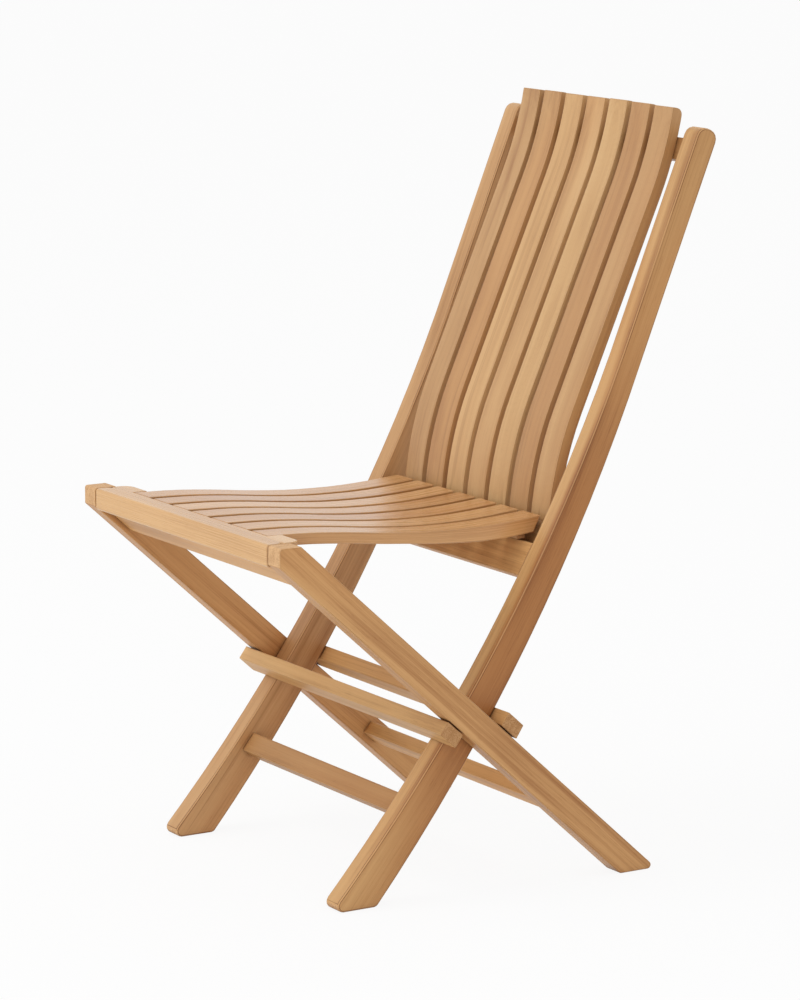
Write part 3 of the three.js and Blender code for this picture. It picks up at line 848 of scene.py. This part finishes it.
def straight_board(name, node, ease, number, grain=None, screws=()):
    """A board from the block round a node. A rail, whose grain is given, is cut off at its shoulders."""
    corners = corners_of(node)
    highest = max(corner.z for corner in corners)
    shoulder = max(abs(corner.x) for corner in corners if corner.z > highest - weld_distance)
    if grain:
        corners = [corner for corner in corners if abs(corner.x) < shoulder + weld_distance]
    block = hull(corners)
    rule = straight_grain(grain or longest_edge(block), broad_face(block))
    return board(name, block, rule, ease, number, screws=screws)


for number, side in enumerate(sides, len(sides)):
    leg = straight_board(f"leg_{side}_wood", f"leg_{side}", leg_ease, number)
    finish(leg, frame_teak, "leg_frame", [f"leg_{side}"])

sideways = Vector((1, 0, 0))
rails = [
    ("back_top_rail", "back_frame", rail_ease),
    ("back_lower_rail", "back_frame", rail_ease),
    ("seat_support_rail", "back_frame", rail_ease),
    ("front_foot_stretcher", "back_frame", rail_ease),
    ("crossing_rail_front", "back_frame", crossing_ease),
    ("crossing_rail_rear", "back_frame", crossing_ease),
    ("leg_apron", "leg_frame", rail_ease),
    ("rear_foot_stretcher", "leg_frame", rail_ease),
    ("seat_rear_batten", "seat", slat_ease),
]
for number, (node, body, ease) in enumerate(rails):
    rail = straight_board(f"{node}_wood", node, ease, number, sideways, screw_nodes.get(node, ()))
    finish(rail, rail_teak, body, [node])

# %% [markdown]
# ## Front rail of the seat
#
# The front rail is one bar with an ear at each end. The ears fill the corners between the outer slats
# and the stiles. Bar and ears are made apart and joined with a Boolean modifier, so that the corner
# between them is a true one, before the edges are eased.

# %% Front rail
def joined(name, block, others, operation="UNION"):
    """A block with others joined to it, or cut from it."""
    def as_piece(part, title):
        mesh = bpy.data.meshes.new(title)
        part.to_mesh(mesh)
        part.free()
        return new_piece(title, mesh)

    whole = as_piece(block, name)
    helpers = [as_piece(other, "helper") for other in others]
    for helper in helpers:
        join = whole.modifiers.new(helper.name, "BOOLEAN")
        join.operation = operation
        join.object = helper
    applied(whole)
    result = bmesh.new()
    result.from_mesh(whole.data)
    bmesh.ops.dissolve_limit(result, angle_limit=flat_angle, verts=result.verts, edges=result.edges)
    for piece in helpers + [whole]:
        bpy.data.objects.remove(piece)
    return result


rail_corners = corners_of("seat_front_rail")
rail_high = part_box("seat_front_rail")[1]
slats_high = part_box("seat_slat_7")[1]
bar_rear = max(corner.y for corner in rail_corners if abs(corner.x) < slats_high.x)
bar = hull([corner for corner in rail_corners if corner.y < bar_rear + weld_distance])
ear_under = min(corner.z for corner in rail_corners if corner.y > rail_high.y - weld_distance)
ear_root = 5 * mm
ears = []
for side in (-1, 1):
    ear = [corner for corner in rail_corners
           if corner.x * side > slats_high.x and corner.y > bar_rear - weld_distance
           and corner.z > ear_under - weld_distance]
    inner = min(abs(corner.x) for corner in ear) * side
    outer = max(abs(corner.x) for corner in ear) * side
    root = [Vector((x, bar_rear - ear_root, z)) for x in (inner, outer) for z in (ear_under, rail_high.z)]
    ears.append(hull(ear + root))
front_rail = joined("seat_front_rail_wood", bar, ears)
rule = straight_grain(sideways, Vector((0, 0, 1)))
front_rail = board("seat_front_rail_wood", front_rail, rule, rail_ease, number=0)
finish(front_rail, seat_teak, "seat", ["seat_front_rail"])

# %% [markdown]
# ## Rows
#
# The slats and their screws repeat at one pitch across the chair, which is what Geometry Nodes are
# for. One tree serves all the rows: it sets copies of a piece on a line, numbers them, lets each sit
# a hair lower than it might, as on a chair made by hand, and gives the finished row its material.

# %% Row tree
# The Random Value node keeps sockets for every kind of value, and these are the places of its floats
random_low, random_high, random_result = 2, 3, 1


def row_tree():
    """The tree that repeats one piece across the chair."""
    tree = bpy.data.node_groups.new("row across the chair", "GeometryNodeTree")
    sockets = tree.interface
    kinds = [("Piece", "Geometry"), ("Count", "Int"), ("Pitch", "Float"), ("Slip", "Float"),
             ("Seed", "Int"), ("Material", "Material")]
    for name, kind in kinds:
        sockets.new_socket(name, in_out="INPUT", socket_type=f"NodeSocket{kind}")
    sockets.new_socket("Row", in_out="OUTPUT", socket_type="NodeSocketGeometry")
    make = Maker(tree)
    given = make.add("NodeGroupInput").outputs
    last = make.sum("SUBTRACT", given["Count"], 1)
    start = make.sum("MULTIPLY", make.sum("MULTIPLY", last, given["Pitch"]), -0.5)
    line = make.add("GeometryNodeMeshLine", {
        "Count": given["Count"],
        "Start Location": make.add("ShaderNodeCombineXYZ", {"X": start}).outputs[0],
        "Offset": make.add("ShaderNodeCombineXYZ", {"X": given["Pitch"]}).outputs[0],
    })
    copies = make.add("GeometryNodeInstanceOnPoints", {
        "Points": line.outputs[0], "Instance": given["Piece"]})
    index = make.add("GeometryNodeInputIndex").outputs[0]
    numbered = make.add("GeometryNodeStoreNamedAttribute", {
        "Geometry": copies.outputs[0], "Name": "board", "Value": make.sum("ADD", index, 1)},
        data_type="FLOAT", domain="INSTANCE")
    lower = make.sum("MULTIPLY", given["Slip"], -1)
    slip = make.add("FunctionNodeRandomValue", {
        random_low: lower, random_high: 0.0, "Seed": given["Seed"]}).outputs[random_result]
    moved = make.add("GeometryNodeTranslateInstances", {
        "Instances": numbered.outputs[0],
        "Translation": make.add("ShaderNodeCombineXYZ", {"Z": slip}).outputs[0]})
    real = make.add("GeometryNodeRealizeInstances", {0: moved.outputs[0]})
    dressed = make.add("GeometryNodeSetMaterial", {
        "Geometry": real.outputs[0], "Material": given["Material"]})
    make.add("NodeGroupOutput", {0: dressed.outputs[0]})
    return tree


across_tree = row_tree()
slat_count = sum(node.startswith("seat_slat_screw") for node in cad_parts)
slat_pitch = (middle_of("seat_slat_7").x - middle_of("seat_slat_1").x) / (slat_count - 1)
print("slats:", slat_count, "pitch:", round(slat_pitch / mm, 2), "mm")


def row(piece, material, slip, seed):
    """The piece repeated across the chair."""
    repeat = piece.modifiers.new("row", "NODES")
    repeat.node_group = across_tree
    sizes = {"Count": slat_count, "Pitch": slat_pitch, "Slip": slip, "Seed": seed, "Material": material}
    for socket in across_tree.interface.items_tree:
        if socket.name in sizes:
            repeat[socket.identifier] = sizes[socket.name]
    return applied(piece)


# %% [markdown]
# ## Back slats and seat slats
#
# The middle slat of the frame gives the outline. It is eased once, and the row repeats it, so every
# slat has the same bend. Their numbers then give each its own grain and tone. The tops of the back
# slats end at uneven heights, and the seat slats are set more evenly.

# %% Slats
middle_slat = (slat_count + 1) // 2
back_slip = 2.2 * mm
back_seed = 510
seat_slip = 0.1 * mm
seat_seed = 5

for kind, body, slot, material, slip, seed in (
    ("back_slat", "back_frame", "teak_slat", slat_teak, back_slip, back_seed),
    ("seat_slat", "seat", "teak_seat", seat_teak, seat_slip, seat_seed),
):
    slats = bent_board(f"{kind}s_wood", f"{kind}_{middle_slat}", slat_ease)
    row(slats, material, slip, seed)
    nodes = [f"{kind}_{number + 1}" for number in range(slat_count)]
    finish(slats, None, body, nodes)

# %% [markdown]
# ## Steel
#
# The pins, washers and screws are stainless steel, dull from handling: a pale grey metal with fine
# scratches. The dowels are teak turned thin, so they get a finish of their own.

# %% Steel
tint_shares = (0.3, 0.7)
steel_tones = (colour(176, 175, 171), colour(204, 203, 199))
dowel_tones = (colour(170, 122, 80), colour(212, 168, 122))
scratch_grain = (900, 5000, 2)
scratch_depth = 0.05 * mm
scratch_strength = 0.2
smear_scale = 180.0
smear_detail = 3
steel_roughness = (0.3, 0.45)
dowel_grain = (700, 90, 700)
dowel_detail = 3
dowel_strength = 0.4
dowel_roughness = 0.6


def steel():
    material = bpy.data.materials.new("dull stainless steel")
    make = clean_nodes(material)
    place = make.add("ShaderNodeTexCoord").outputs["Object"]
    scratches = make.drawn_out(place, *scratch_grain)
    smear = make.noise(place, smear_detail, scale=smear_scale)
    tint = make.ramp(smear, list(zip(tint_shares, steel_tones)))
    bump = make.add("ShaderNodeBump", {
        "Strength": scratch_strength, "Distance": scratch_depth, "Height": scratches})
    shader = make.add("ShaderNodeBsdfPrincipled", {
        "Base Color": tint, "Metallic": 1.0, "Normal": bump.outputs[0],
        "Roughness": make.between(smear, *tint_shares, *steel_roughness)})
    make.add("ShaderNodeOutputMaterial", {"Surface": shader.outputs[0]})
    return material


def dowel_teak():
    """Teak for the round dowels, whose solids carry no wood coordinates."""
    material = bpy.data.materials.new("teak of the dowels")
    make = clean_nodes(material)
    place = make.add("ShaderNodeTexCoord").outputs["Object"]
    fibre = make.noise(make.vector("MULTIPLY", place, dowel_grain), dowel_detail)
    tint = make.ramp(fibre, list(zip(tint_shares, dowel_tones)))
    bump = make.add("ShaderNodeBump", {
        "Strength": dowel_strength, "Distance": grain_bump, "Height": fibre})
    shader = make.add("ShaderNodeBsdfPrincipled", {
        "Base Color": tint, "Roughness": dowel_roughness, "Normal": bump.outputs[0]})
    make.add("ShaderNodeOutputMaterial", {"Surface": shader.outputs[0]})
    return material


steel_finish = steel()
dowel_finish = dowel_teak()
print("finishes:", steel_finish.name, "and", dowel_finish.name)

# %% [markdown]
# ## Screws
#
# A countersunk screw is a cone on a thin round shank, with a cross recess cut in its head by two
# crossed blades. Only the head shows. One screw is made at the middle slat, a hair under the wood, and
# the row sets the other six.

# %% Screws
screw_sides = 32
head_height = 2.4 * mm
shank_share = 0.48
head_sink = 0.2 * mm
recess_depth = 1.7 * mm
recess_reach_share = 0.6
recess_width_share = 0.15
recess_foot_share = 0.5


def cone(head_radius, foot_radius, top, foot):
    """A round solid on the Z axis that narrows downwards."""
    solid = bmesh.new()
    bmesh.ops.create_cone(
        solid, cap_ends=True, segments=screw_sides, radius1=foot_radius, radius2=head_radius,
        depth=top - foot, matrix=Matrix.Translation((0, 0, (top + foot) / 2)))
    return solid


def blade(reach, width):
    """A wedge that cuts one slot of the cross."""
    return hull([
        Vector((x * share, y, z))
        for x in (-reach, reach) for y in (-width / 2, width / 2)
        for z, share in ((recess_depth, 1 + recess_foot_share), (-recess_depth, recess_foot_share))])


def screws(name, node, body):
    """A row of screws, each at its slat, made from the one at the middle slat."""
    corners = corners_of(node)
    block = hull(corners)
    head = max(block.faces, key=lambda face: face.calc_area())
    outwards, place = head.normal.copy(), head.calc_center_median()
    radius = max((corner.co - place).length for corner in head.verts)
    length = max((place - corner).dot(outwards) for corner in corners)
    block.free()
    shank = cone(radius * shank_share, radius * shank_share, -head_height / 2, -length)
    body_solid = joined(name, cone(radius, radius * shank_share, 0, -head_height), [shank])
    reach, width = radius * recess_reach_share, radius * recess_width_share * 2
    blades = [blade(reach, width), blade(reach, width)]
    bmesh.ops.rotate(blades[1], verts=blades[1].verts, matrix=Matrix.Rotation(math.tau / 4, 3, "Z"))
    screw = joined(name, body_solid, blades, "DIFFERENCE")
    turn = outwards.to_track_quat("Z", "X").to_matrix().to_4x4()
    screw.transform(Matrix.Translation(place - outwards * head_sink) @ turn)
    mesh = bpy.data.meshes.new(name)
    screw.to_mesh(mesh)
    screw.free()
    piece = row(new_piece(name, mesh), steel_finish, slip=0, seed=0)
    finish(piece, None, body, [f"{node[:-1]}{number + 1}" for number in range(slat_count)])


screws("back_slat_screws_steel", f"back_slat_screw_{middle_slat}", "back_frame")
screws("seat_slat_screws_steel", f"seat_slat_screw_{middle_slat}", "seat")

# %% [markdown]
# ## Solids that stay
#
# The pins, washers and dowels are right as they are, and only need their finish.

# %% Solids that stay
for name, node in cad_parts.items():
    if node.hide_render:
        continue
    node.data.materials.clear()
    node.data.materials.append(dowel_finish if "dowel" in name else steel_finish)
    print(name, "keeps its solid")

# %% [markdown]
# ## Studio
#
# A plain pale floor, a white surround that the camera sees, a large soft lamp high in front and a
# weaker one lower down on the right. The surround lights the chair less than it shows, so that the
# lamps can model the shapes.

# %% Light and floor
floor_size = 80
background_white = 1.0
surround_light = 0.78
floor_white_share = 0.9
floor_paint = (0.86, 0.86, 0.86, 1)
plain_white = (1, 1, 1, 1)


def seen_directly(make):
    """1 for rays that see the background straight, in a reflection or through glass."""
    path = make.add("ShaderNodeLightPath").outputs
    seen = make.sum("MAXIMUM", path["Is Camera Ray"], path["Is Glossy Ray"])
    return make.sum("MAXIMUM", seen, path["Is Transmission Ray"])


world = bpy.data.worlds.new("white surround")
make = clean_nodes(world)
strength = make.sum("MULTIPLY_ADD", seen_directly(make), background_white - surround_light, surround_light)
surround = make.add("ShaderNodeBackground", {"Color": plain_white, "Strength": strength})
make.add("ShaderNodeOutputWorld", {"Surface": surround.outputs[0]})
bpy.context.scene.world = world

floor_mesh = bpy.data.meshes.new("floor")
half = floor_size / 2
floor_corners = [(-half, -half, 0), (half, -half, 0), (half, half, 0), (-half, half, 0)]
floor_mesh.from_pydata(floor_corners, [], [range(len(floor_corners))])
floor = new_piece("floor", floor_mesh)
floor_look = bpy.data.materials.new("pale floor")
make = clean_nodes(floor_look)
paint = make.add("ShaderNodeBsdfDiffuse", {"Color": floor_paint})
glow = make.add("ShaderNodeEmission", {"Color": plain_white, "Strength": background_white})
share = make.sum("MULTIPLY", seen_directly(make), floor_white_share)
mixed = make.add("ShaderNodeMixShader", {0: share, 1: paint.outputs[0], 2: glow.outputs[0]})
make.add("ShaderNodeOutputMaterial", {"Surface": mixed.outputs[0]})
floor.data.materials.append(floor_look)


def lamp(name, power, size, place, target):
    light = bpy.data.lights.new(name, "AREA")
    light.energy = power
    light.size = size
    piece = bpy.data.objects.new(name, light)
    piece.location = place
    piece.rotation_euler = (Vector(target) - Vector(place)).to_track_quat("-Z", "Y").to_euler()
    bpy.context.scene.collection.objects.link(piece)


chair_middle = (0, 0, 0.4)
lamp_size = 2.4
key_power = 56
key_place = (-1.0, -3.2, 3.2)
side_power = 19
side_place = (3.8, -1.4, 1.2)
lamp("key light", key_power, lamp_size, key_place, chair_middle)
lamp("side light", side_power, lamp_size, side_place, chair_middle)
bpy.context.scene.view_settings.view_transform = "Standard"
print("lamps:", len(bpy.data.lights))
